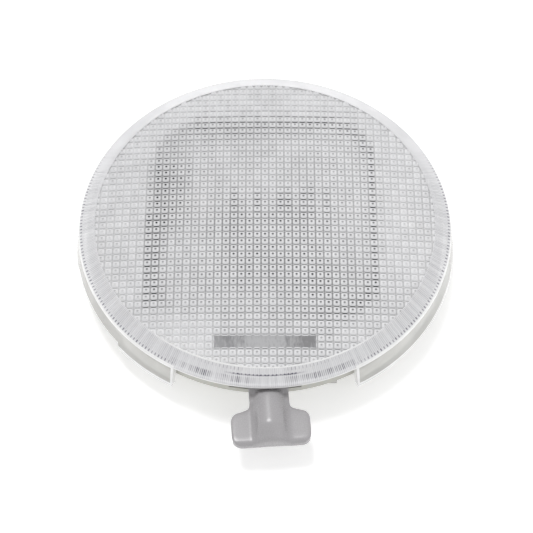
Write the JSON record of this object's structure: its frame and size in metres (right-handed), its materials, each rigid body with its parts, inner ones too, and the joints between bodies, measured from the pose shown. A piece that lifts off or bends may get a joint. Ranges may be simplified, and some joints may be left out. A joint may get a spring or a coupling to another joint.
{
  "type": "car dome light",
  "caption": "Round interior roof lamp for a car: clear prismatic lens clipped over a moulded housing, tubular bulb in spring clips, and a swinging T-handled switch lever.",
  "frame": {"origin": "on the lamp's axis, on the flat back of the housing's well", "axes": "+Z out through the lens, -Y out along the switch lever, +X to the right seen from the lens side"},
  "size_m": [0.111, 0.1248, 0.0218],
  "materials": {
    "housing_plastic": "moulded satin",
    "clear_plastic": "clear, prismatic",
    "white_enamel": "white enamel on sheet steel",
    "bulb_glass": "clear blown glass",
    "plated_steel": "nickel plated",
    "sheet_brass": "stamped sheet",
    "lever_plastic": "smooth moulded, slight gloss"
  },
  "bodies": {
    "base": {"housing": "housing_plastic", "reflector": "white_enamel", "bulb_glass": "bulb_glass", "bulb_cap_left": "plated_steel", "bulb_cap_right": "plated_steel", "bulb_filament": "plated_steel", "contact_clip_left": "sheet_brass", "contact_clip_right": "sheet_brass", "common_strip": "sheet_brass", "ground_contact": "sheet_brass", "door_contact": "sheet_brass", "feed_terminal": "plated_steel", "door_terminal": "plated_steel", "rivets": "plated_steel", "lever_pin": "plated_steel", "spring_washer": "plated_steel", "pivot_washer": "plated_steel"},
    "cover": {"lens": "clear_plastic"},
    "lever": {"switch_lever": "lever_plastic", "wiper_contact": "sheet_brass"}
  },
  "joints": [
    {"name": "lever_swing", "type": "hinge", "parent": "base", "child": "lever", "pos_m": [0, -0.038, 0.0135], "axis": [0, 0, 1], "range_deg": [-18.7, 11.3]},
    {"name": "lens_lift", "type": "slide", "parent": "base", "child": "cover", "axis": [0, 0, 1], "range_m": [0, 0.03]}
  ]
}
